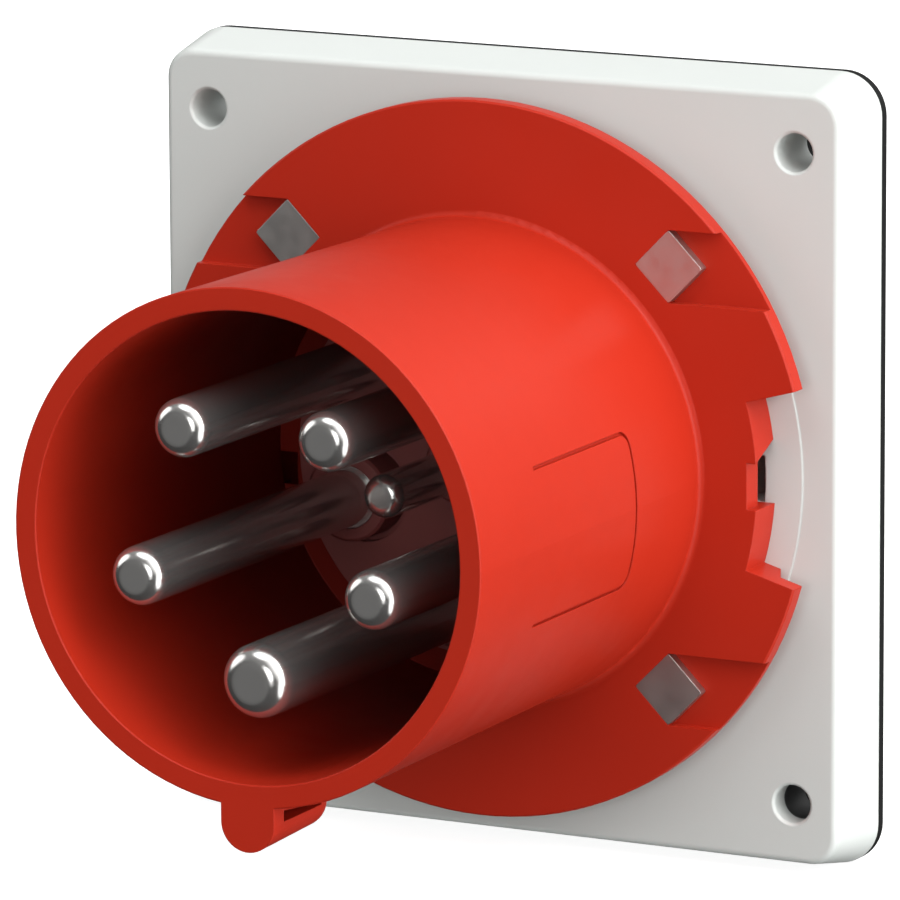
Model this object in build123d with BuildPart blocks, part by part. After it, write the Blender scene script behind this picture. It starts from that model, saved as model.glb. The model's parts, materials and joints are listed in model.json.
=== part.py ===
from build123d import *
import math
import os

# Panel inlet for 63 A, five poles and a pilot contact.
# The sleeve axis is Y, and the mouth looks along -Y. The panel face is the plane Y = 0.
# A height is measured from the panel face towards the mouth, so it is -Y. Lengths are millimetres.

# Mounting plate and its gasket
gasket_thickness = 1.5
gasket_opening_radius = 36.8
plate_width = 107.0
plate_height = 110.0
plate_thickness = 9.85
plate_draft = 1.9
plate_corner_radius = 6.0
plate_edge_radius = 1.0
plate_land_radius = 46.5
plate_land_height = 0.15
mount_spacing = 90.0
mount_hole_radius = 2.7
mount_hole_chamfer = 0.3
body_fit = 0.25

# Red body: disc, boss behind it, sleeve in front and skirt through the panel
boss_height = 3.25
boss_foot_radius = 45.0
boss_head_radius = 46.6
disc_rim_width = 14.25
disc_thickness = 2.8
disc_edge_chamfer = 0.25
sleeve_length = 66.0
sleeve_mouth_radius = 34.65
sleeve_root_radius = 33.9
sleeve_wall = 3.1
sleeve_inner_draft = 0.3
mouth_edge_chamfer = 0.15
root_fillet = 0.9
skirt_radius = 35.75
skirt_wall = 2.75
skirt_reach = 10.0
ledge_opening_radius = 27.4
ledge_depth = 1.1
ledge_thickness = 7.6

# Notch in the disc at three o'clock, and the hook recess in its middle
notch_half_angle = 15.8
notch_radius = 42.5
recess_half_angle = 4.5
recess_slant = 2.4
recess_depth = 1.5
recess_wall_depth = 3.5
recess_undercut = 2.2
recess_overrun = 1.0
latch_pocket_depth = 7.0
latch_pocket_length = 3.5

# Square-headed bolts through disc and plate
bolt_inset = 8.634
bolt_head_side = 7.1
bolt_head_height = 1.56
bolt_radius = 2.0
bolt_hole_fit = 0.1
nut_across_flats = 7.0
nut_thickness = 3.2
nut_pocket_depth = 4.2
nut_pocket_fit = 0.1

# Key under the mouth, with its side window
key_length = 17.4
key_width = 7.9
key_rear_width = 7.3
key_drop = 6.1
key_rear_drop = 5.5
key_end_radius = 3.0
key_window_start = 2.9
key_window_length = 10.7
key_window_height = 1.5
key_window_rear_height = 0.35
key_window_gap = 0.6

# Grooved frame on the right of the sleeve, open towards the mouth
frame_start = 18.45
frame_length = 28.0
frame_centre = -0.2
frame_half_height = 10.5
frame_corner_radius = 2.0
groove_width = 0.5
groove_depth = 0.5

# Seals
seal_width = 1.0
seal_thickness = 1.0
seal_gap_outside_skirt = 0.6
carrier_seal_width = 1.0
carrier_seal_inset = 0.4

# Slot in the ledge at nine o'clock
slot_width = 4.6
slot_centre = -3.8
slot_radial = 2.8
slot_depth = 5.0

# Contact carrier and terminal block
carrier_fit = 0.2
carrier_proud = 1.9
carrier_shoulder_fit = 0.25
carrier_shoulder_thickness = 5.0
collar_height = 4.6
collar_wall = 2.3
collar_chamfer = 0.4
collar_groove_width = 0.8
collar_groove_depth = 1.2
block_plate_thickness = 5.0
tube_wall = 2.2
fin_thickness = 2.0
fin_radius = 27.5
fin_reach = 24.0

# Contacts
pin_circle_radius = 18.25
pin_angles = {"line_pin_1": 126.0, "line_pin_2": 54.0, "line_pin_3": -18.0, "neutral_pin": 198.0}
earth_angle = -90.0
fin_angle = 90.0
pin_setback = 0.97
line_pin_radius = 4.0
earth_pin_radius = 5.0
pilot_pin_radius = 3.0
pilot_pin_setback = 37.6
pin_nose_share = 0.55
pin_root_step = 0.4
pin_fit = 0.05
barrel_fit = 0.05
pin_flange_step = 0.7
pin_flange_thickness = 2.0
line_barrel_radius = 6.5
earth_barrel_radius = 7.0
pilot_barrel_radius = 5.0
barrel_reach = 26.5
pilot_barrel_reach = 40.5
barrel_chamfer = 0.5
line_wire_radius = 3.25
earth_wire_radius = 3.5
pilot_wire_radius = 2.0
wire_depth = 15.0
pilot_wire_depth = 11.0

# Clamp screws, each with a pressure pad at its tip
clamp_screw_radius = 3.0
pilot_screw_radius = 2.0
clamp_screw_length = 7.0
pilot_screw_length = 5.0
clamp_station = 19.5
pilot_clamp_station = 35.5
pilot_clamp_angle = 90.0
thread_fit = 0.05
pad_thickness = 1.2
pad_fit = 0.45
pad_rest_gap = 0.15
pivot_radius = 1.0
pivot_length = 0.7
pivot_fit = 0.05
socket_across_flats = 3.0
pilot_socket_across_flats = 2.0
socket_depth = 3.0

# Screws that hold carrier and block to the ledge
carrier_screw_circle = 30.3
carrier_screw_angles = (45.0, 135.0, 225.0, 315.0)
carrier_screw_radius = 1.25
carrier_screw_grip = 5.5
carrier_screw_head_radius = 2.4
carrier_screw_head_height = 2.0
carrier_screw_socket = 2.0

# Heights that follow from the sizes above
plate_front = gasket_thickness + plate_thickness
land_top = plate_front + plate_land_height
disc_back = land_top + boss_height
disc_face = disc_back + disc_thickness
mouth = disc_face + sleeve_length
ledge_front = disc_face - ledge_depth
ledge_back = ledge_front - ledge_thickness
carrier_front = ledge_front + carrier_proud
carrier_back = ledge_back - carrier_shoulder_thickness
block_back = carrier_back - block_plate_thickness
collar_top = carrier_front + collar_height
plate_opening_radius = skirt_radius + body_fit
disc_radius = skirt_radius + disc_rim_width
recess_radius = notch_radius - recess_depth
sleeve_inner_mouth = sleeve_mouth_radius - sleeve_wall
sleeve_inner_root = sleeve_inner_mouth - sleeve_inner_draft
skirt_inner_radius = skirt_radius - skirt_wall
carrier_radius = ledge_opening_radius - carrier_fit
shoulder_radius = skirt_inner_radius - carrier_shoulder_fit
seal_inner_radius = skirt_radius + seal_gap_outside_skirt
seal_outer_radius = seal_inner_radius + seal_width
carrier_seal_inner = ledge_opening_radius + carrier_seal_inset
carrier_seal_outer = carrier_seal_inner + carrier_seal_width
bolt_spacing = (disc_radius - bolt_inset) * math.sqrt(2)
bolt_seat = disc_face - bolt_head_height
nut_seat = gasket_thickness + nut_pocket_depth

os.makedirs("parts", exist_ok=True)

# Section plane: first coordinate is the radius, second is the height in front of the panel
section = Plane(origin=(0, 0, 0), x_dir=(1, 0, 0), z_dir=(0, 0, -1))


def section_at(x, z):
    """Section plane through an axis parallel to the sleeve's."""
    return Plane(origin=(x, 0, z), x_dir=(1, 0, 0), z_dir=(0, 0, -1))


def axis_at(x, z):
    return Axis((x, 0, z), (0, -1, 0))


def front(height):
    """Plane parallel to the panel, seen from the mouth side."""
    return Plane.XZ.offset(height)


def polar(radius, angle):
    return radius * math.cos(math.radians(angle)), radius * math.sin(math.radians(angle))


def finish(part, label):
    """Label a finished piece and write it."""
    part.label = label
    export_step(part, f"parts/{label}.step")


# Mounting plate: drafted sides, rounded corners, a low round land under the boss
with BuildPart() as mounting_flange:
    with BuildSketch(front(gasket_thickness)):
        RectangleRounded(plate_width, plate_height, plate_corner_radius)
    extrude(amount=plate_thickness, taper=math.degrees(math.atan(plate_draft / plate_thickness)))
    fillet(mounting_flange.faces().sort_by(Axis.Y)[0].edges(), plate_edge_radius)
    with BuildSketch(front(plate_front)):
        Circle(plate_land_radius)
    extrude(amount=plate_land_height)
    with BuildSketch(front(gasket_thickness)):
        Circle(plate_opening_radius)
        with GridLocations(mount_spacing, mount_spacing, 2, 2):
            Circle(mount_hole_radius)
        with GridLocations(bolt_spacing, bolt_spacing, 2, 2):
            Circle(bolt_radius + bolt_hole_fit)
    extrude(amount=plate_thickness + plate_land_height, mode=Mode.SUBTRACT)
    with BuildSketch(front(gasket_thickness)):
        with GridLocations(bolt_spacing, bolt_spacing, 2, 2):
            RegularPolygon(nut_across_flats / 2 + nut_pocket_fit, 6, major_radius=False)
    extrude(amount=nut_pocket_depth, mode=Mode.SUBTRACT)
    # Pocket for a hook, between the opening and the foot of the notch
    with BuildSketch(front(land_top)):
        with BuildLine():
            latch_outer = PolarLine((0, 0), recess_radius, -recess_half_angle, mode=Mode.PRIVATE) @ 1
            latch_top = PolarLine((0, 0), recess_radius, recess_half_angle, mode=Mode.PRIVATE) @ 1
            ThreePointArc(latch_outer, (recess_radius, 0), latch_top)
            Polyline(
                latch_top,
                (recess_radius - latch_pocket_length, latch_top.Y),
                (recess_radius - latch_pocket_length, latch_outer.Y),
                latch_outer,
            )
        make_face()
    extrude(amount=-latch_pocket_depth, mode=Mode.SUBTRACT)
    mount_rims = (
        mounting_flange.edges()
        .filter_by(GeomType.CIRCLE)
        .filter_by(lambda edge: abs(edge.radius - mount_hole_radius) < 0.001)
        .group_by(Axis.Y)[0]
    )
    chamfer(mount_rims, mount_hole_chamfer)
finish(mounting_flange.part, "mounting_flange")

# Flat gasket with the plate's outline, between plate and panel
with BuildPart() as panel_gasket:
    with BuildSketch(front(0)):
        RectangleRounded(plate_width, plate_height, plate_corner_radius)
        Circle(gasket_opening_radius, mode=Mode.SUBTRACT)
        with GridLocations(mount_spacing, mount_spacing, 2, 2):
            Circle(mount_hole_radius, mode=Mode.SUBTRACT)
    extrude(amount=gasket_thickness)
finish(panel_gasket.part, "panel_gasket")

# Cutter for the grooved frame: a traced line, kept only in the sleeve's outer skin
with BuildPart() as frame_groove:
    with BuildSketch(Plane.YZ.offset(sleeve_inner_root)):
        with BuildLine():
            open_end = -(mouth - frame_start)
            closed_end = open_end + frame_length
            frame_top = frame_centre + frame_half_height
            frame_foot = frame_centre - frame_half_height
            FilletPolyline(
                (open_end, frame_top),
                (closed_end, frame_top),
                (closed_end, frame_foot),
                (open_end, frame_foot),
                radius=frame_corner_radius,
            )
        trace(line_width=groove_width)
    extrude(amount=sleeve_wall + disc_thickness)
    with BuildSketch(section):
        with BuildLine():
            Polyline(
                (0, disc_face),
                (sleeve_root_radius - groove_depth, disc_face),
                (sleeve_mouth_radius - groove_depth, mouth),
                (0, mouth),
                close=True,
            )
        make_face()
    revolve(axis=Axis.Y, mode=Mode.SUBTRACT)

# Key: lofted tongue with a round foot, and a wedge-shaped window through its flanks
with BuildPart() as key_lug:
    for height, width, drop in (
        (mouth, key_width, key_drop),
        (mouth - key_length, key_rear_width, key_rear_drop),
    ):
        with BuildSketch(front(height)):
            with BuildLine():
                left = -width / 2
                foot = sleeve_mouth_radius + drop
                bend = -foot + width / 2
                top = -(sleeve_mouth_radius - sleeve_wall / 2)
                Polyline((left, bend), (left, top), (-left, top), (-left, bend))
                ThreePointArc((-left, bend), (0, -foot), (left, bend))
            make_face()
    loft()
    fillet(key_lug.faces().sort_by(Axis.Y)[-1].edges().sort_by(Axis.Z)[0], key_end_radius)
    with BuildSketch(Plane.YZ.offset(-key_width)):
        with BuildLine():
            window_top = -(sleeve_mouth_radius + key_window_gap)
            window_foot = window_top - key_window_height
            window_front = -(mouth - key_window_start)
            window_back = window_front + key_window_length
            Polyline(
                (window_front, window_top),
                (window_front, window_foot),
                (window_back, window_foot),
                (window_back, window_foot + key_window_rear_height),
                close=True,
            )
        make_face()
    extrude(amount=2 * key_width, mode=Mode.SUBTRACT)

# Red body: one moulding turned from its section, then keyed, notched and pocketed
with BuildPart() as inlet_sleeve:
    with BuildSketch(section) as body_section:
        with BuildLine():
            Polyline(
                (sleeve_inner_mouth, mouth),
                (sleeve_mouth_radius, mouth),
                (sleeve_root_radius, disc_face),
                (disc_radius, disc_face),
                (disc_radius, disc_back),
                (boss_head_radius, disc_back),
                (boss_foot_radius, land_top),
                (skirt_radius, land_top),
                (skirt_radius, -skirt_reach),
                (skirt_inner_radius, -skirt_reach),
                (skirt_inner_radius, ledge_back),
                (ledge_opening_radius, ledge_back),
                (ledge_opening_radius, ledge_front),
                (sleeve_inner_root, ledge_front),
                close=True,
            )
        make_face()
        chamfer(body_section.vertices().group_by(Axis.Y)[-1], mouth_edge_chamfer)
        root_corner = body_section.vertices().filter_by(
            lambda corner: abs(corner.X - sleeve_root_radius) < 0.001
        )
        fillet(root_corner, root_fillet)
        disc_edge = body_section.vertices().filter_by(
            lambda corner: abs(corner.X - disc_radius) < 0.001
        )
        chamfer(disc_edge, disc_edge_chamfer)
    revolve(axis=Axis.Y)
    add(key_lug.part)
    add(frame_groove.part, mode=Mode.SUBTRACT)
    # Notch through disc and boss
    with BuildSketch(front(land_top)):
        with BuildLine():
            reach = disc_radius + disc_thickness
            low_in = PolarLine((0, 0), notch_radius, -notch_half_angle, mode=Mode.PRIVATE) @ 1
            low_out = PolarLine((0, 0), reach, -notch_half_angle, mode=Mode.PRIVATE) @ 1
            high_in = PolarLine((0, 0), notch_radius, notch_half_angle, mode=Mode.PRIVATE) @ 1
            high_out = PolarLine((0, 0), reach, notch_half_angle, mode=Mode.PRIVATE) @ 1
            ThreePointArc(low_in, (notch_radius, 0), high_in)
            Line(high_in, high_out)
            ThreePointArc(high_out, (reach, 0), low_out)
            Line(low_out, low_in)
        make_face()
    extrude(amount=boss_height + disc_thickness, mode=Mode.SUBTRACT)
    # Hook recess in the notch wall: its upper end slants, and it is undercut behind the front wall
    recess_edge = recess_radius * math.sin(math.radians(recess_half_angle))
    wall_back = disc_face - recess_wall_depth
    slant_rate = recess_slant / (disc_face - land_top)
    for base, reach, start in (
        (recess_radius, notch_radius + recess_overrun - recess_radius, disc_face),
        (recess_radius - recess_undercut, recess_undercut, wall_back),
    ):
        with BuildSketch(Plane.YZ.offset(base)):
            with BuildLine():
                Polyline(
                    (-start, -recess_edge),
                    (-start, recess_edge + slant_rate * (disc_face - start)),
                    (-land_top, recess_edge + recess_slant),
                    (-land_top, -recess_edge),
                    close=True,
                )
            make_face()
        extrude(amount=reach, mode=Mode.SUBTRACT)
    # Four pockets that open sideways at the rim, each ending in the outline of a square head
    with BuildSketch(front(disc_face)):
        half_diagonal = bolt_head_side / math.sqrt(2)
        bolt_offset = bolt_spacing / 2
        with BuildLine():
            Polyline(
                (bolt_offset - half_diagonal, bolt_offset),
                (bolt_offset, bolt_offset + half_diagonal),
                (disc_radius, bolt_offset + half_diagonal),
                (disc_radius, bolt_offset - half_diagonal),
                (bolt_offset, bolt_offset - half_diagonal),
                close=True,
            )
        make_face()
        mirror(about=Plane.XZ)
        mirror(about=Plane.YZ)
    extrude(amount=-bolt_head_height, mode=Mode.SUBTRACT)
    with BuildSketch(front(disc_face)):
        with GridLocations(bolt_spacing, bolt_spacing, 2, 2):
            Circle(bolt_radius + bolt_hole_fit)
    extrude(amount=-(disc_face - land_top), mode=Mode.SUBTRACT)
    # Groove for the body seal, facing the plate
    with BuildSketch(front(land_top)):
        Circle(seal_outer_radius)
        Circle(seal_inner_radius, mode=Mode.SUBTRACT)
    extrude(amount=seal_thickness, mode=Mode.SUBTRACT)
    # Behind the ledge: groove for the carrier seal and blind holes for the carrier screws
    with BuildSketch(front(ledge_back)):
        Circle(carrier_seal_outer)
        Circle(carrier_seal_inner, mode=Mode.SUBTRACT)
    extrude(amount=seal_thickness, mode=Mode.SUBTRACT)
    with BuildSketch(front(ledge_back)):
        for angle in carrier_screw_angles:
            with Locations(polar(carrier_screw_circle, angle)):
                Circle(carrier_screw_radius)
    extrude(amount=carrier_screw_grip, mode=Mode.SUBTRACT)
    # Blind slot in the ledge at nine o'clock
    with BuildSketch(front(ledge_front)):
        with Locations((-(sleeve_inner_root - slot_radial / 2), slot_centre)):
            Rectangle(slot_radial, slot_width)
    extrude(amount=-slot_depth, mode=Mode.SUBTRACT)
finish(inlet_sleeve.part, "inlet_sleeve")

# Flat ring seals: body against plate, and carrier against ledge
with BuildPart() as body_seal:
    with BuildSketch(front(land_top)):
        Circle(seal_outer_radius)
        Circle(seal_inner_radius, mode=Mode.SUBTRACT)
    extrude(amount=seal_thickness)
finish(body_seal.part, "body_seal")

with BuildPart() as carrier_seal:
    with BuildSketch(front(ledge_back)):
        Circle(carrier_seal_outer)
        Circle(carrier_seal_inner, mode=Mode.SUBTRACT)
    extrude(amount=seal_thickness)
finish(carrier_seal.part, "carrier_seal")

# Every contact in one table: angle, circle, pin, barrel and wire radii, setback, reach, wire depth
contacts = {}
for name, angle in pin_angles.items():
    contacts[name] = dict(
        centre=polar(pin_circle_radius, angle),
        angle=angle,
        pin=line_pin_radius,
        barrel=line_barrel_radius,
        wire=line_wire_radius,
        setback=pin_setback,
        reach=barrel_reach,
        depth=wire_depth,
        station=clamp_station,
        screw=clamp_screw_radius,
        screw_length=clamp_screw_length,
        socket=socket_across_flats,
    )
contacts["earth_pin"] = dict(
    contacts["neutral_pin"],
    centre=polar(pin_circle_radius, earth_angle),
    angle=earth_angle,
    pin=earth_pin_radius,
    barrel=earth_barrel_radius,
    wire=earth_wire_radius,
)
contacts["pilot_pin"] = dict(
    centre=(0.0, 0.0),
    angle=pilot_clamp_angle,
    pin=pilot_pin_radius,
    barrel=pilot_barrel_radius,
    wire=pilot_wire_radius,
    setback=pilot_pin_setback,
    reach=pilot_barrel_reach,
    depth=pilot_wire_depth,
    station=pilot_clamp_station,
    screw=pilot_screw_radius,
    screw_length=pilot_screw_length,
    socket=pilot_socket_across_flats,
)


def clamp_plane(contact):
    """Plane across a clamp screw's axis, at the wire's centre line, facing outwards."""
    across_x, across_z = polar(1.0, contact["angle"])
    x, z = contact["centre"]
    return Plane(origin=(x, contact["station"], z), x_dir=(0, 1, 0), z_dir=(across_x, 0, across_z))


# Contact carrier: front disc with a collar round each pin, shoulder behind the ledge
with BuildPart() as contact_carrier:
    with BuildSketch(section):
        with BuildLine():
            Polyline(
                (0, carrier_front),
                (carrier_radius, carrier_front),
                (carrier_radius, ledge_back),
                (shoulder_radius, ledge_back),
                (shoulder_radius, carrier_back),
                (0, carrier_back),
                close=True,
            )
        make_face()
    revolve(axis=Axis.Y)
    for contact in contacts.values():
        with BuildSketch(front(carrier_front)):
            with Locations(contact["centre"]):
                Circle(contact["pin"] + collar_wall + collar_groove_width)
        extrude(amount=-collar_groove_depth, mode=Mode.SUBTRACT)
    for contact in contacts.values():
        collar = contact["pin"] + collar_wall
        with BuildSketch(section_at(*contact["centre"])):
            with BuildLine():
                Polyline(
                    (0, carrier_front - collar_groove_depth),
                    (collar, carrier_front - collar_groove_depth),
                    (collar, collar_top - collar_chamfer),
                    (collar - collar_chamfer, collar_top),
                    (0, collar_top),
                    close=True,
                )
            make_face()
        revolve(axis=axis_at(*contact["centre"]))
    for contact in contacts.values():
        with BuildSketch(front(carrier_back)):
            with Locations(contact["centre"]):
                Circle(contact["pin"] + pin_root_step + pin_fit)
        extrude(amount=collar_top - carrier_back, mode=Mode.SUBTRACT)
        with BuildSketch(front(carrier_back)):
            with Locations(contact["centre"]):
                Circle(contact["barrel"] + pin_flange_step + pin_fit)
        extrude(amount=pin_flange_thickness, mode=Mode.SUBTRACT)
    with BuildSketch(front(carrier_back)):
        for angle in carrier_screw_angles:
            with Locations(polar(carrier_screw_circle, angle)):
                Circle(carrier_screw_radius)
    extrude(amount=carrier_shoulder_thickness, mode=Mode.SUBTRACT)
finish(contact_carrier.part, "contact_carrier")

# Terminal block: plate round the barrels, middle tube, and a fin between each two barrels
with BuildPart() as terminal_block:
    with BuildSketch(front(block_back)):
        Circle(shoulder_radius)
    extrude(amount=block_plate_thickness)
    with BuildSketch(front(block_back)):
        Circle(pilot_barrel_radius + tube_wall)
        with PolarLocations(fin_radius / 2, len(pin_angles) + 1, start_angle=fin_angle):
            Rectangle(fin_radius, fin_thickness)
    extrude(amount=-(block_back + fin_reach))
    with BuildSketch(front(carrier_back)):
        for contact in contacts.values():
            with Locations(contact["centre"]):
                Circle(contact["barrel"] + barrel_fit)
    extrude(amount=-(carrier_back + fin_reach), mode=Mode.SUBTRACT)
    with BuildSketch(front(block_back)):
        for angle in carrier_screw_angles:
            with Locations(polar(carrier_screw_circle, angle)):
                Circle(carrier_screw_radius)
    extrude(amount=block_plate_thickness, mode=Mode.SUBTRACT)
finish(terminal_block.part, "terminal_block")

# Contacts: round-nosed pin, thicker root in the carrier, trapped flange and terminal barrel, one turning
for name, contact in contacts.items():
    with BuildPart() as contact_pin:
        pin = contact["pin"]
        root = pin + pin_root_step
        tip = mouth - contact["setback"]
        flange = contact["barrel"] + pin_flange_step
        end = -contact["reach"]
        with BuildSketch(section_at(*contact["centre"])):
            with BuildLine():
                Polyline(
                    (pin, tip),
                    (pin, collar_top),
                    (root, collar_top),
                    (root, carrier_back + pin_flange_thickness),
                    (flange, carrier_back + pin_flange_thickness),
                    (flange, carrier_back),
                    (contact["barrel"], carrier_back),
                    (contact["barrel"], end + barrel_chamfer),
                    (contact["barrel"] - barrel_chamfer, end),
                    (0, end),
                    (0, tip),
                    close=True,
                )
            make_face()
        revolve(axis=axis_at(*contact["centre"]))
        fillet(contact_pin.edges().group_by(Axis.Y)[0], pin_nose_share * pin)
        with BuildSketch(front(end)):
            with Locations(contact["centre"]):
                Circle(contact["wire"])
        extrude(amount=contact["depth"], mode=Mode.SUBTRACT)
        with BuildSketch(clamp_plane(contact)):
            Circle(contact["screw"] + thread_fit)
        extrude(amount=2 * contact["barrel"], mode=Mode.SUBTRACT)
    finish(contact_pin.part, name)

# Clamp screws and pressure pads, drawn open: the pad just clears the wire bore
for name, contact in contacts.items():
    place = clamp_plane(contact)
    stem = name.replace("_pin", "")
    pad_face = contact["wire"] + pad_rest_gap
    screw_tip = pad_face + pad_thickness
    with BuildPart() as pressure_pad:
        with BuildSketch(place.offset(pad_face)):
            Circle(contact["screw"] - pad_fit)
        extrude(amount=pad_thickness)
        with BuildSketch(place.offset(screw_tip)):
            Circle(pivot_radius + pivot_fit)
        extrude(amount=-(pivot_length + pivot_fit), mode=Mode.SUBTRACT)
    finish(pressure_pad.part, f"{stem}_pressure_pad")
    with BuildPart() as clamp_screw:
        with BuildSketch(place.offset(screw_tip)):
            Circle(contact["screw"])
        extrude(amount=contact["screw_length"])
        with BuildSketch(place.offset(screw_tip)):
            Circle(pivot_radius)
        extrude(amount=-pivot_length)
        with BuildSketch(place.offset(screw_tip + contact["screw_length"])):
            RegularPolygon(contact["socket"] / 2, 6, major_radius=False)
        extrude(amount=-socket_depth, mode=Mode.SUBTRACT)
    finish(clamp_screw.part, f"{stem}_clamp_screw")

# Square-headed bolts in the disc pockets, and their nuts behind the plate
bolt_centres = [
    (side * bolt_spacing / 2, level * bolt_spacing / 2) for level in (1, -1) for side in (-1, 1)
]
for number, centre in enumerate(bolt_centres, start=1):
    with BuildPart() as body_bolt:
        with BuildSketch(front(bolt_seat)):
            with Locations(centre):
                Rectangle(bolt_head_side, bolt_head_side, rotation=45)
        extrude(amount=bolt_head_height)
        with BuildSketch(front(nut_seat - nut_thickness)):
            with Locations(centre):
                Circle(bolt_radius)
        extrude(amount=bolt_seat - nut_seat + nut_thickness)
    finish(body_bolt.part, f"body_bolt_{number}")
    with BuildPart() as body_nut:
        with BuildSketch(front(nut_seat - nut_thickness)):
            with Locations(centre):
                RegularPolygon(nut_across_flats / 2, 6, major_radius=False)
                Circle(bolt_radius, mode=Mode.SUBTRACT)
        extrude(amount=nut_thickness)
    finish(body_nut.part, f"body_nut_{number}")

# Screws through block and carrier into the ledge
for number, angle in enumerate(carrier_screw_angles, start=1):
    centre = polar(carrier_screw_circle, angle)
    with BuildPart() as carrier_screw:
        with BuildSketch(front(block_back)):
            with Locations(centre):
                Circle(carrier_screw_radius)
        extrude(amount=ledge_back - block_back + carrier_screw_grip)
        with BuildSketch(front(block_back)):
            with Locations(centre):
                Circle(carrier_screw_head_radius)
        extrude(amount=-carrier_screw_head_height)
        with BuildSketch(front(block_back - carrier_screw_head_height)):
            with Locations(centre):
                RegularPolygon(carrier_screw_socket / 2, 6, major_radius=False)
        extrude(amount=carrier_screw_head_height / 2, mode=Mode.SUBTRACT)
    finish(carrier_screw.part, f"carrier_screw_{number}")
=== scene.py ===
import json
import math

import bpy
import numpy as np
from mathutils import Matrix, Vector


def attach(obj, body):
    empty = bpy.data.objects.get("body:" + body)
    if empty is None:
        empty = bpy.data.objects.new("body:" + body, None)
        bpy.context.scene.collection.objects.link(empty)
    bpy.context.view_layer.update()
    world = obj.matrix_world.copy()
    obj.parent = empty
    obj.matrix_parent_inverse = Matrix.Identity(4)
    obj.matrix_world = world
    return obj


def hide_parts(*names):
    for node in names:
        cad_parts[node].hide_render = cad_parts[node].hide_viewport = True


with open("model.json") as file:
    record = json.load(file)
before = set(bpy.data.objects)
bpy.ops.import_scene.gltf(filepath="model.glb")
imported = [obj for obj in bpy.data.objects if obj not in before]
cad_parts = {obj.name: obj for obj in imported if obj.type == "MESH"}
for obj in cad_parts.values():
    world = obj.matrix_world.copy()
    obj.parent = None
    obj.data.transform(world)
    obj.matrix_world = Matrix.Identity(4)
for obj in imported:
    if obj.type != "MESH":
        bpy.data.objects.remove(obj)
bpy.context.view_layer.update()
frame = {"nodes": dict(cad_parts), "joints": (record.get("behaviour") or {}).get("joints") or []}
scene = bpy.context.scene
nodes = frame["nodes"]
joints = {joint["name"]: joint for joint in frame["joints"]}
millimetre = 0.001
print("frame loaded,", len(nodes), "nodes")


# Camera, at the angle of the photograph
camera = {
    "azimuth": 27.478,      # degrees to the right of the mouth
    "elevation": 11.253,    # degrees above the horizon
    "roll": -0.26,
    "target": (-0.0048, -0.01475, -0.000851),
    "distance": 1.1746,
    "lens": 341.01,         # millimetres, on a sensor 36 wide
    "sensor": 36.0,
    "shift": (-0.00559, 0.01141),
    "clip": (0.05, 60.0),
}


# Position is the target plus the distance along the line of sight; the axes are right, up and back
def placeCamera(look):
    azimuth, elevation, roll = (math.radians(look[key]) for key in ("azimuth", "elevation", "roll"))
    back = Vector((
        math.sin(azimuth) * math.cos(elevation),
        -math.cos(azimuth) * math.cos(elevation),
        math.sin(elevation),
    ))
    right = Vector((math.cos(azimuth), math.sin(azimuth), 0))
    up = back.cross(right)
    axes = Matrix((
        right * math.cos(roll) + up * math.sin(roll),
        up * math.cos(roll) - right * math.sin(roll),
        back,
    )).transposed()
    data = bpy.data.cameras.new("camera")
    data.lens, data.sensor_width = look["lens"], look["sensor"]
    data.shift_x, data.shift_y = look["shift"]
    data.clip_start, data.clip_end = look["clip"]
    holder = bpy.data.objects.new("camera", data)
    holder.matrix_world = Matrix.Translation(Vector(look["target"]) + back * look["distance"]) @ axes.to_4x4()
    scene.collection.objects.link(holder)
    scene.camera = holder


placeCamera(camera)
print("camera placed")


# Soft boxes: power in watts, size in metres, each aimed at the middle of the sleeve. One that isn't mirrored
# lights the part without a highlight
softBoxes = {
    "sideBox": {"place": (1.1, 0.0, 0.35), "size": 0.6, "power": 2.3},
    "frontSideBox": {"place": (1.0, -0.45, 0.45), "size": 0.6, "power": 1.4},
    "highSideBox": {"place": (0.8, -0.25, 0.8), "size": 0.6, "power": 3.8},
    "lowSideBox": {"place": (1.05, -0.3, -0.32), "size": 1.2, "power": 8.6},
    "topBox": {"place": (-0.1, -0.6, 1.0), "size": 0.7, "power": 3.7},
    "frontBox": {"place": (0.2, -1.25, 0.15), "size": 0.6, "power": 3.5},
    "leftBox": {"place": (-1.0, -0.5, 0.4), "size": 0.7, "power": 2.7},
    "backBox": {"place": (0.0, 1.2, 0.15), "size": 0.8, "power": 8.0, "mirrored": False},
    "backLeftBox": {"place": (-0.9, 0.9, 0.4), "size": 0.7, "power": 2.5, "mirrored": False},
    "groundBounce": {"place": (0.17, -0.42, -1.05), "size": 1.0, "power": 2.5, "mirrored": False},
}
studio = {
    "aim": (0.0, -0.035, 0.0),
    "floorHeight": -0.055,
    "floorRings": (0.01, 0.5, 2.0),
    "floorRadius": 6.0,
    "floorColumns": 96,
    "wallHeight": 4.0,
    "bendRows": 13,
    "floorColour": (0.45, 0.45, 0.45),
    "floorGlow": 0.84,
}


# Room light: each lobe is centred on a way, and grows from the cosine "start" to the cosine "full"
roomLobes = {
    "ceiling": {"way": (0, 0, 1), "start": 0.0, "full": 1.0, "strength": 0.35},
    "front": {"way": (-0.4525, -0.87, -0.195), "start": 0.90, "full": 0.975, "strength": 0.12},
    "back": {"way": (0, 1, 0), "start": 0.82, "full": 0.97, "strength": 0.32},
    "highSide": {"way": (0.75, 0.0, 0.66), "start": 0.5, "full": 0.85, "strength": 2.30},
}


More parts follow.
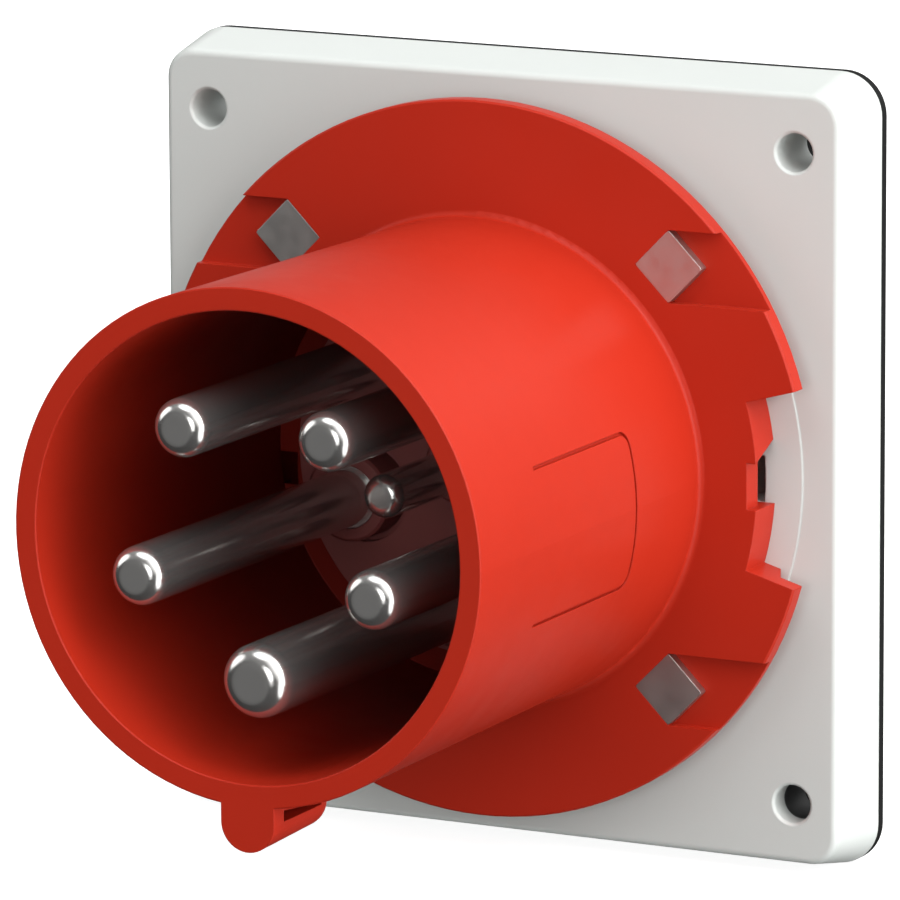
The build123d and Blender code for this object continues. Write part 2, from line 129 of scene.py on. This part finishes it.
# A soft box faces its aim: its own Z axis points away from it
def placeSoftBox(name, look):
    data = bpy.data.lights.new(name, "AREA")
    data.shape, data.size, data.energy = "DISK", look["size"], look["power"]
    holder = bpy.data.objects.new(name, data)
    line = Vector(look["place"]) - Vector(studio["aim"])
    holder.location = look["place"]
    holder.rotation_euler = line.to_track_quat("Z", "Y").to_euler()
    holder.visible_glossy = look.get("mirrored", True)
    scene.collection.objects.link(holder)


for name, look in softBoxes.items():
    placeSoftBox(name, look)


# Adds a node. A socket's value is plain, or another node's output that is joined to it
def addNode(tree, kind, sockets=None, **settings):
    node = tree.nodes.new(kind)
    for key, value in settings.items():
        setattr(node, key, value)
    for key, value in (sockets or {}).items():
        if isinstance(value, bpy.types.NodeSocket):
            tree.links.new(value, node.inputs[key])
        else:
            node.inputs[key].default_value = value
    return node


# Room light is the sum over the lobes of strength times how far the direction lies inside the lobe
def makeRoomLight(lobes):
    world = bpy.data.worlds.new("studio")
    world.use_nodes = True
    tree = world.node_tree
    direction = addNode(tree, "ShaderNodeTexCoord").outputs["Generated"]
    total = 0.0
    for look in lobes.values():
        facing = addNode(tree, "ShaderNodeVectorMath", {0: direction, 1: look["way"]}, operation="DOT_PRODUCT")
        inside = addNode(tree, "ShaderNodeMapRange", {    # clamps to nothing outside the lobe
            "Value": facing.outputs["Value"],
            "From Min": look["start"], "From Max": look["full"], "To Max": look["strength"],
        })
        total = addNode(tree, "ShaderNodeMath", {0: total, 1: inside.outputs["Result"]}).outputs["Value"]
    background = tree.nodes["Background"]
    background.inputs["Color"].default_value = (1, 1, 1, 1)
    tree.links.new(total, background.inputs["Strength"])
    scene.world = world


makeRoomLight(roomLobes)
scene.view_settings.view_transform = "Standard"
print("lights placed,", len(softBoxes), "soft boxes")


# Four-sided faces between each row of points and the next; the columns close on themselves
def ringQuads(rows, columns):
    row, column = np.meshgrid(np.arange(rows - 1), np.arange(columns), indexing="ij")
    following = (column + 1) % columns
    return np.stack([
        row * columns + column,
        row * columns + following,
        (row + 1) * columns + following,
        (row + 1) * columns + column,
    ], axis=-1).reshape(-1, 4)


# Piece from points and faces, with smooth shading
def placeMesh(name, points, faces):
    mesh = bpy.data.meshes.new(name)
    mesh.from_pydata(points.tolist(), [], faces)
    mesh.polygons.foreach_set("use_smooth", np.ones(len(mesh.polygons), bool))
    mesh.update()
    piece = bpy.data.objects.new(name, mesh)
    scene.collection.objects.link(piece)
    return piece


# Closed piece from rings of points, rows by columns by three. Each end row closes on a middle point, and the
# faces are turned outwards by the sign of the enclosed volume
def meshFromRings(name, rings, sharpAngle):
    rows, columns = rings.shape[:2]
    quads = ringQuads(rows, columns)
    around = np.arange(columns)
    nextAround = (around + 1) % columns
    last = (rows - 1) * columns
    startFan = np.stack([np.full(columns, rows * columns), nextAround, around], axis=-1)
    endFan = np.stack([np.full(columns, rows * columns + 1), last + around, last + nextAround], axis=-1)
    points = np.vstack([rings.reshape(-1, 3), rings[0].mean(axis=0), rings[-1].mean(axis=0)])
    fans = np.vstack([startFan, endFan])
    triangles = np.vstack([fans, quads[:, [0, 1, 2]], quads[:, [0, 2, 3]]])
    corners = points[triangles]
    volume = np.einsum("ij,ij->i", corners[:, 0], np.cross(corners[:, 1], corners[:, 2])).sum()
    if volume < 0:
        quads, fans = quads[:, ::-1], fans[:, ::-1]
    piece = placeMesh(name, points, quads.tolist() + fans.tolist())
    piece.data.set_sharp_from_angle(angle=math.radians(sharpAngle))
    return piece


# Two directions square to an axis
def sideVectors(axis):
    axis = np.array(axis, float)
    helper = np.array((0.0, 0.0, 1.0)) if abs(axis[2]) < 0.9 else np.array((0.0, 1.0, 0.0))
    first = np.cross(helper, axis)
    first /= np.linalg.norm(first)
    return first, np.cross(axis, first)


# Rings along an axis: point = start + axis * along + radius * (cos(angle) * first + sin(angle) * second);
# radius and along are arrays of rows by columns, so a ring may be wavy or many-sided
def ringsOnAxis(start, axis, along, radius, angles):
    first, second = sideVectors(axis)
    along, radius = np.broadcast_arrays(along, radius)
    turn = np.cos(angles)[None, :, None] * first + np.sin(angles)[None, :, None] * second
    return np.array(start) + along[..., None] * np.array(axis, float) + radius[..., None] * turn


# Floor: flat disc that curves up into a wall far from the object. Radius and height follow a profile
# r(s), z(s): straight out, then a quarter circle, then straight up
def floorPiece(look):
    bend = look["wallHeight"] / 2
    angle = np.linspace(0, math.pi / 2, look["bendRows"])
    flat = np.array(look["floorRings"])
    edge = look["floorRadius"]
    radius = np.concatenate([flat, edge + bend * np.sin(angle), [edge + bend]])
    height = np.concatenate([0 * flat, bend * (1 - np.cos(angle)), [look["wallHeight"]]])
    around = np.linspace(0, 2 * math.pi, look["floorColumns"], endpoint=False)
    rings = np.stack(np.broadcast_arrays(
        radius[:, None] * np.cos(around),
        radius[:, None] * np.sin(around),
        (look["floorHeight"] + height)[:, None] + 0 * around,
    ), axis=-1)
    rows, columns = rings.shape[:2]
    quads = ringQuads(rows, columns)[:, ::-1]    # turned to face up and inwards
    floor = placeMesh("floor", rings.reshape(-1, 3), quads.tolist() + [list(range(columns))])
    floor.visible_diffuse = floor.visible_glossy = floor.visible_shadow = False    # only the camera sees it
    return floor


floor = floorPiece(studio)
print("floor laid")


# Noise in the piece's own space; stretch turns it into rings or brush lines
def addNoise(tree, place, scale, detail=3.0, stretch=(1, 1, 1)):
    mapping = addNode(tree, "ShaderNodeMapping", {"Vector": place, "Scale": stretch})
    noise = addNode(tree, "ShaderNodeTexNoise", {
        "Vector": mapping.outputs["Vector"], "Scale": scale, "Detail": detail,
    })
    return noise.outputs["Fac"]


# Painted shade: darkens the colour inside a bore that runs along Y, by nothing at the depth "from", down to the
# share
# "keep" at the depth "to", for points nearer to the bore's axis than its radius
def paintShadeInBore(tree, place, colour, bore):
    middle = (bore["x"], 0, bore["z"])
    offset = addNode(tree, "ShaderNodeVectorMath", {0: place, 1: middle}, operation="SUBTRACT")
    across = addNode(tree, "ShaderNodeVectorMath", {
        0: offset.outputs["Vector"], 1: (1, 0, 1),
    }, operation="MULTIPLY")
    distance = addNode(tree, "ShaderNodeVectorMath", {0: across.outputs["Vector"]}, operation="LENGTH")
    within = addNode(tree, "ShaderNodeMath", {
        0: distance.outputs["Value"], 1: bore["radius"],
    }, operation="LESS_THAN")
    parts = addNode(tree, "ShaderNodeSeparateXYZ", {"Vector": place})
    depth = addNode(tree, "ShaderNodeMapRange", {
        "Value": parts.outputs["Y"],
        "From Min": bore["from"], "From Max": bore["to"], "To Min": 0.0, "To Max": 1 - bore["keep"],
    })
    amount = addNode(tree, "ShaderNodeMath", {
        0: within.outputs["Value"], 1: depth.outputs["Result"],
    }, operation="MULTIPLY")
    share = addNode(tree, "ShaderNodeMath", {0: 1.0, 1: amount.outputs["Value"]}, operation="SUBTRACT")
    darker = addNode(tree, "ShaderNodeVectorMath", {
        0: colour, "Scale": share.outputs["Value"],
    }, operation="SCALE")
    return darker.outputs["Vector"]


# What all finishes share: the noise values between which the gloss varies, and samples for softened edges
finishing = {
    "smearFrom": 0.3,
    "smearTo": 0.7,
    "smearDetail": 2.0,
    "edgeSamples": 6,
}


# Surface finish: clouded colour with painted shade inside each bore listed, uneven gloss, softened edges, then
# fine grain and a broad wave as bump
def makeFinish(name, look):
    material = bpy.data.materials.new(name)
    material.use_nodes = True
    tree = material.node_tree
    shader = tree.nodes["Principled BSDF"]
    for socket, value in look["surface"].items():
        shader.inputs[socket].default_value = value
    place = addNode(tree, "ShaderNodeTexCoord").outputs["Object"]
    low = [part * (1 - look["cloud"]) for part in look["colour"]]
    high = [part * (1 + look["cloud"]) for part in look["colour"]]
    tint = addNode(tree, "ShaderNodeMix", {
        "Factor": addNoise(tree, place, look["cloudScale"]), "A": (*low, 1), "B": (*high, 1),
    }, data_type="RGBA")
    colour = tint.outputs["Result"]
    # painted shade inside each bore listed with the finish
    for bore in look.get("bores", []):
        colour = paintShadeInBore(tree, place, colour, bore)
    tree.links.new(colour, shader.inputs["Base Color"])
    gloss = addNode(tree, "ShaderNodeMapRange", {
        "Value": addNoise(tree, place, look["smearScale"], detail=finishing["smearDetail"]),
        "From Min": finishing["smearFrom"], "From Max": finishing["smearTo"],
        "To Min": look["roughness"] - look["smear"], "To Max": look["roughness"] + look["smear"],
    })
    tree.links.new(gloss.outputs["Result"], shader.inputs["Roughness"])
    edge = addNode(tree, "ShaderNodeBevel", {"Radius": look["edge"]}, samples=finishing["edgeSamples"])
    normal = edge.outputs["Normal"]
    for scale, depth, stretch in look["grain"]:
        bump = addNode(tree, "ShaderNodeBump", {
            "Height": addNoise(tree, place, scale, stretch=stretch), "Normal": normal,
            "Strength": 1.0, "Distance": depth,
        })
        normal = bump.outputs["Normal"]
    tree.links.new(normal, shader.inputs["Normal"])
    return material


# Colour is linear, and cloud is the share by which it varies; smear is how far the roughness goes up and down;
# edge is the radius of a softened edge in metres. Each grain has a scale, a height in metres and a stretch
# along x, y and z. Each bore with painted shade is given in metres
even = (1, 1, 1)
finishes = {
    "redPlastic": {
        "colour": (0.39, 0.0195, 0.0075), "cloud": 0.03, "cloudScale": 70,
        "roughness": 0.40, "smear": 0.03, "smearScale": 160, "edge": 0.00018,
        "grain": [(2600, 0.000006, even), (60, 0.00004, even)],
        "surface": {"IOR": 1.5, "Specular IOR Level": 0.17},
        # painted shade inside the sleeve, darker towards the back, down to 42 per cent
        "bores": [{"x": 0.0, "z": 0.0, "radius": 0.0327, "from": -0.084, "to": -0.03, "keep": 0.42}],
    },
    "greyPlastic": {
        "colour": (0.55, 0.575, 0.556), "cloud": 0.012, "cloudScale": 60,
        "roughness": 0.45, "smear": 0.03, "smearScale": 150, "edge": 0.0003,
        "grain": [(2600, 0.000006, even), (60, 0.00004, even)],
        "surface": {"IOR": 1.5},
        # painted shadow: the lower right mounting hole black beyond about 3 mm deep
        "bores": [{"x": 0.045, "z": -0.045, "radius": 0.0028, "from": -0.0081, "to": -0.0079, "keep": 0.01}],
    },
    # Dark plastic of the carrier; its red tint is painted bounce light from the red sleeve
    "darkPlastic": {
        "colour": (0.21, 0.052, 0.047), "cloud": 0.08, "cloudScale": 120,
        "roughness": 0.46, "smear": 0.04, "smearScale": 200, "edge": 0.0002,
        "grain": [(2600, 0.000008, even)],
        "surface": {"IOR": 1.5},
    },
    "blockPlastic": {
        "colour": (0.05, 0.048, 0.047), "cloud": 0.06, "cloudScale": 120,
        "roughness": 0.44, "smear": 0.04, "smearScale": 200, "edge": 0.0002,
        "grain": [(2600, 0.000008, even)],
        "surface": {"IOR": 1.5},
    },
    "blackRubber": {
        "colour": (0.006, 0.006, 0.006), "cloud": 0.15, "cloudScale": 200,
        "roughness": 0.75, "smear": 0.05, "smearScale": 300, "edge": 0.0002,
        "grain": [(1800, 0.00002, even)],
        "surface": {"IOR": 1.45, "Specular IOR Level": 0.2},
    },
    "nickelTurned": {
        "colour": (0.60, 0.588, 0.57), "cloud": 0.03, "cloudScale": 180,
        "roughness": 0.20, "smear": 0.015, "smearScale": 400, "edge": 0.0001,
        "grain": [(40, 0.0000002, (1, 90, 1)), (900, 0.0000002, even)],
        "surface": {"Metallic": 0.9},
    },
    "steelHeads": {
        "colour": (0.49, 0.48, 0.46), "cloud": 0.06, "cloudScale": 300,
        "roughness": 0.42, "smear": 0.04, "smearScale": 500, "edge": 0.00004,
        "grain": [(60, 0.000006, (50, 1, 1)), (1500, 0.000002, even)],
        "surface": {"Metallic": 1.0},
    },
    "zincSteel": {
        "colour": (0.60, 0.61, 0.63), "cloud": 0.08, "cloudScale": 400,
        "roughness": 0.32, "smear": 0.06, "smearScale": 600, "edge": 0.0001,
        "grain": [(1500, 0.000003, even)],
        "surface": {"Metallic": 1.0},
    },
}
materials = {name: makeFinish(name, look) for name, look in finishes.items()}
materials["paleFloor"] = makeFinish("paleFloor", {
    "colour": studio["floorColour"], "cloud": 0.004, "cloudScale": 3,
    "roughness": 0.8, "smear": 0.02, "smearScale": 5, "edge": 0.001, "grain": [(30, 0.0001, even)],
    "surface": {
        "Emission Color": (1, 1, 1, 1), "Emission Strength": studio["floorGlow"], "Specular IOR Level": 0.0,
    },
})
floor.data.materials.append(materials["paleFloor"])
print("finishes made,", len(materials))


# Solid parts keep their shape and get their finish
dressed = {
    "redPlastic": ["inlet_sleeve"],
    "greyPlastic": ["mounting_flange"],
    "blackRubber": ["panel_gasket", "body_seal", "carrier_seal"],
    "darkPlastic": ["contact_carrier"],
    "blockPlastic": ["terminal_block"],
    "nickelTurned": [name for name in nodes if name.endswith("_pin") or name.startswith("line_pin")],
    "zincSteel": [name for name in nodes if name.endswith("_pad")],
    "steelHeads": [name for name in nodes if name.startswith("body_nut")],
}
for finish, names in dressed.items():
    for name in names:
        for place in nodes[name].material_slots:
            place.material = materials[finish]
print("solid parts dressed,", sum(len(names) for names in dressed.values()))


# Corner points of a node's mesh as rows of x, y, z
def nodePoints(name):
    mesh = nodes[name].data
    flat = np.empty(len(mesh.vertices) * 3, np.float32)
    mesh.vertices.foreach_get("co", flat)
    return flat.reshape(-1, 3).astype(float)


# Thread: radius falls from the crest by a triangle wave of height along / pitch minus angle / full turn,
# faded out towards both ends of the threaded length
def threadRadius(along, angles, length, look):
    phase = along[:, None] / look["pitch"] - angles[None, :] / (2 * math.pi)
    wave = np.abs(2 * (phase - np.floor(phase)) - 1)
    ends = np.clip(np.minimum(along, length - along) / look["pitch"], 0, 1)[:, None]
    crest = look["radius"] - look["endChamfer"] * (1 - ends)
    return crest - look["depth"] * wave * ends


# Regular polygon as a radius: half the width across flats over the cosine of the angle from the nearest flat
def polygonRadius(acrossFlats, angles, sides):
    step = 2 * math.pi / sides
    return acrossFlats / 2 / np.cos((angles + step / 2) % step - step / 2)


# Sizes in metres from a dictionary in millimetres
def scaled(look):
    return {key: value * millimetre for key, value in look.items()}


# Hexagon sockets: chamfer at the mouth in millimetres, then shares of the width across flats
socketShape = {
    "chamfer": 0.12,
    "cone": 0.3,     # depth of the drilled cone
    "point": 0.02,   # radius left at its point
}


# Hexagon socket seen from the end face inwards: rows of depth and radius, from its rim to a drilled cone
def socketRows(look, angles):
    hexagon = polygonRadius(look["socket"], angles, 6)
    chamfer = socketShape["chamfer"] * millimetre
    deep = look["socketDepth"]
    depths = [0.0, chamfer, deep, deep + socketShape["cone"] * look["socket"]]
    rows = [hexagon + chamfer, hexagon, hexagon, 0 * hexagon + socketShape["point"] * look["socket"]]
    return depths, rows


# Rounded rim of a head as rows of depth and radius: a quarter circle from the end face to the side
def rimRows(edge, radius, steps):
    quarter = np.linspace(math.pi / 2, 0, steps)
    return [(edge * (1 - math.sin(a)), radius - edge * (1 - math.cos(a))) for a in quarter]


# Clamp screws, in millimetres: socket, chamfered end, thread, then the pivot that turns in the pad
clampScrew = {
    "main": {"radius": 3.0, "pitch": 1.0, "depth": 0.5, "endChamfer": 0.5, "socket": 3.0, "socketDepth": 2.1},
    "pilot": {"radius": 2.0, "pitch": 0.7, "depth": 0.36, "endChamfer": 0.36, "socket": 2.0, "socketDepth": 1.8},
    "pivot": {"radius": 1.0, "length": 0.7, "edge": 0.15},
    "grid": {"columns": 48, "rowsPerTurn": 10, "sharpAngle": 30},
}


# Profile turned about the joint's axis: radius against distance from the outer end, from the socket's point
# to its rim, along the thread, then over the pivot
def makeClampScrew(stem, kind):
    look, pivot, grid = scaled(clampScrew[kind]), scaled(clampScrew["pivot"]), clampScrew["grid"]
    joint = joints[f"{stem}_screw_turn"]
    node = f"{stem}_clamp_screw"
    middle, axis = np.array(joint["pos_m"]), np.array(joint["axis"], float)
    reach = (nodePoints(node) - middle) @ axis
    start = middle + axis * reach.min()
    length = reach.max() - reach.min() - pivot["length"]
    angles = np.linspace(0, 2 * math.pi, grid["columns"], endpoint=False)
    depths, socket = socketRows(look, angles)
    threadAlong = np.linspace(0, length, int(length / look["pitch"] * grid["rowsPerTurn"]) + 1)
    thread = threadRadius(threadAlong, angles, length, look)
    tip = [
        (length, pivot["radius"]),
        (length + pivot["length"] - pivot["edge"], pivot["radius"]),
        (length + pivot["length"], pivot["radius"] - pivot["edge"]),
    ]
    along = np.concatenate([depths[::-1], threadAlong, [row[0] for row in tip]])
    radius = np.vstack([*socket[::-1], thread, *[np.full(len(angles), row[1]) for row in tip]])
    rings = ringsOnAxis(start, axis, along[:, None], radius, angles)
    piece = meshFromRings(f"{stem}_threaded_screw", rings, grid["sharpAngle"])
    piece.data.materials.append(materials["zincSteel"])
    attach(piece, f"{stem}_screw")
    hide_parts(node)


stems = [name.replace("_screw_turn", "") for name in joints if name.endswith("_screw_turn")]
for stem in stems:
    makeClampScrew(stem, "pilot" if stem == "pilot" else "main")
print("clamp screws threaded,", len(stems))


# Square-headed bolts, in millimetres: square head set on edge, then a threaded shank
bodyBolt = {
    "sizes": {
        "side": 7.1, "headHeight": 1.56, "edge": 0.04,
        "radius": 2.0, "pitch": 0.7, "depth": 0.36, "endChamfer": 0.36,
    },
    "count": 4,
    "cornerPower": 34.0,            # larger has sharper corners
    "topShares": (0.2, 0.6, 0.97),  # rings on the end face
    "grid": {"columns": 96, "edgeRows": 5, "threadRows": 80, "sharpAngle": 50},
}


# Rounded square as a radius: half side over the p-norm of cosine and sine, turned by an eighth
def squareRadius(side, angles, power):
    turned = angles + math.pi / 4
    return side / 2 / (np.abs(np.cos(turned)) ** power + np.abs(np.sin(turned)) ** power) ** (1 / power)


# Profile along Y: the end face grows outwards as a square, rounds over the edge, goes down the head's side and
# steps in to the thread
def makeBodyBolt(number):
    look, grid = scaled(bodyBolt["sizes"]), bodyBolt["grid"]
    node = f"body_bolt_{number}"
    low, high = nodePoints(node).min(axis=0), nodePoints(node).max(axis=0)
    start = np.array(((low[0] + high[0]) / 2, low[1], (low[2] + high[2]) / 2))
    angles = np.linspace(0, 2 * math.pi, grid["columns"], endpoint=False)
    square = squareRadius(look["side"], angles, bodyBolt["cornerPower"])
    edge, height = look["edge"], look["headHeight"]
    top = [(0.0, share * (square - edge)) for share in bodyBolt["topShares"]]
    rows = top + rimRows(edge, square, grid["edgeRows"]) + [(height, square)]
    length = high[1] - low[1] - height
    threadAlong = np.linspace(0, length, grid["threadRows"])
    thread = threadRadius(threadAlong, angles, length, look)
    along = np.concatenate([[row[0] for row in rows], height + threadAlong])
    radius = np.vstack([*[row[1] for row in rows], thread])
    rings = ringsOnAxis(start, (0, 1, 0), along[:, None], radius, angles)
    piece = meshFromRings(f"square_bolt_{number}", rings, grid["sharpAngle"])
    piece.data.materials.append(materials["steelHeads"])
    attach(piece, "root")
    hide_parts(node)


for number in range(1, bodyBolt["count"] + 1):
    makeBodyBolt(number)
print("square-headed bolts made,", bodyBolt["count"])


# Screws at the back, in millimetres: round head with a hexagon socket, and a threaded shank
carrierScrew = {
    "sizes": {
        "headRadius": 2.4, "headHeight": 2.0, "edge": 0.25, "socket": 2.0, "socketDepth": 1.0,
        "radius": 1.25, "pitch": 0.5, "depth": 0.25, "endChamfer": 0.25,
    },
    "count": 4,
    "grid": {"columns": 48, "edgeRows": 5, "threadRows": 120, "sharpAngle": 40},
}


# Profile along -Y: from the socket's point to its rim, over the rounded head, then down the thread
def makeCarrierScrew(number):
    look, grid = scaled(carrierScrew["sizes"]), carrierScrew["grid"]
    node = f"carrier_screw_{number}"
    low, high = nodePoints(node).min(axis=0), nodePoints(node).max(axis=0)
    start = np.array(((low[0] + high[0]) / 2, high[1], (low[2] + high[2]) / 2))
    angles = np.linspace(0, 2 * math.pi, grid["columns"], endpoint=False)
    depths, socket = socketRows(look, angles)
    height, head = look["headHeight"], np.full(len(angles), look["headRadius"])
    rows = rimRows(look["edge"], head, grid["edgeRows"]) + [(height, head)]
    length = high[1] - low[1] - height
    threadAlong = np.linspace(0, length, grid["threadRows"])
    thread = threadRadius(threadAlong, angles, length, look)
    along = np.concatenate([depths[::-1], [row[0] for row in rows], height + threadAlong])
    radius = np.vstack([*socket[::-1], *[row[1] for row in rows], thread])
    rings = ringsOnAxis(start, (0, -1, 0), along[:, None], radius, angles)
    piece = meshFromRings(f"socket_screw_{number}", rings, grid["sharpAngle"])
    piece.data.materials.append(materials["zincSteel"])
    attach(piece, "root")
    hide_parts(node)


for number in range(1, carrierScrew["count"] + 1):
    makeCarrierScrew(number)
print("carrier screws made,", carrierScrew["count"])
